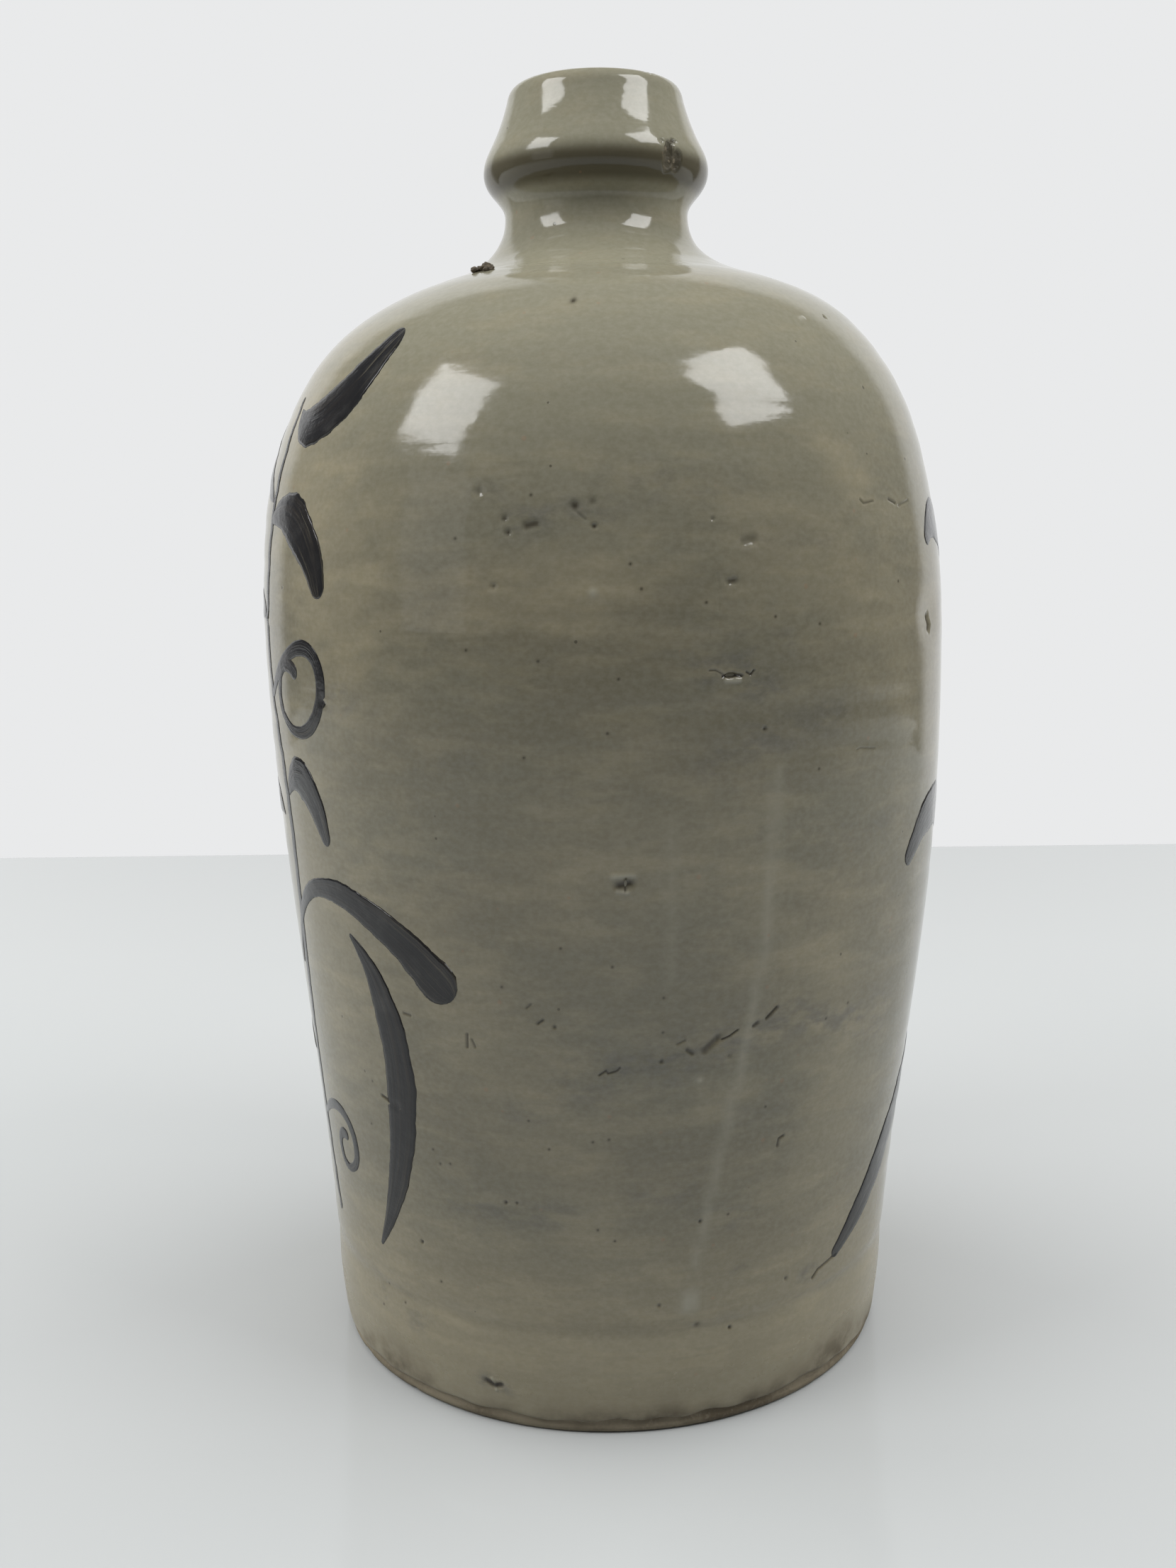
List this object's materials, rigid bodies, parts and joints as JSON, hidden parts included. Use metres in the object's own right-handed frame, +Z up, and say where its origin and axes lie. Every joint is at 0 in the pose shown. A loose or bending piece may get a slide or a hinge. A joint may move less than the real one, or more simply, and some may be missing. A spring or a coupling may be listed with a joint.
{
  "type": "sake bottle",
  "caption": "Tall stoneware sake flask with a domed shoulder, short neck and flared collar, olive celadon glaze and iron-painted vines on its sides.",
  "frame": {"origin": "middle of the foot, on the surface that the flask stands on", "axes": "+Z up along the flask's axis; -Y is the front, between the two painted vines"},
  "size_m": [0.1368, 0.1364, 0.25],
  "materials": {
    "bare_clay": "matte, unglazed and stained",
    "body_clay": "matte fired stoneware",
    "glaze": "glossy olive-grey ash glaze",
    "inner_glaze": "glossy",
    "kiln_grit": "rough",
    "iron_brushwork": "glossy iron brown-black"
  },
  "bodies": {
    "root": {"base_disc": "bare_clay", "lower_body": "body_clay", "upper_body": "body_clay", "neck": "body_clay", "mouth_collar": "body_clay", "outer_glaze": "glaze", "inner_glaze": "inner_glaze", "kiln_grit": "kiln_grit", "left_vine_stem": "iron_brushwork", "left_vine_leaves": "iron_brushwork", "left_vine_tendrils": "iron_brushwork", "right_vine_stem": "iron_brushwork", "right_vine_leaves": "iron_brushwork", "right_vine_tendrils": "iron_brushwork"}
  },
  "joints": []
}
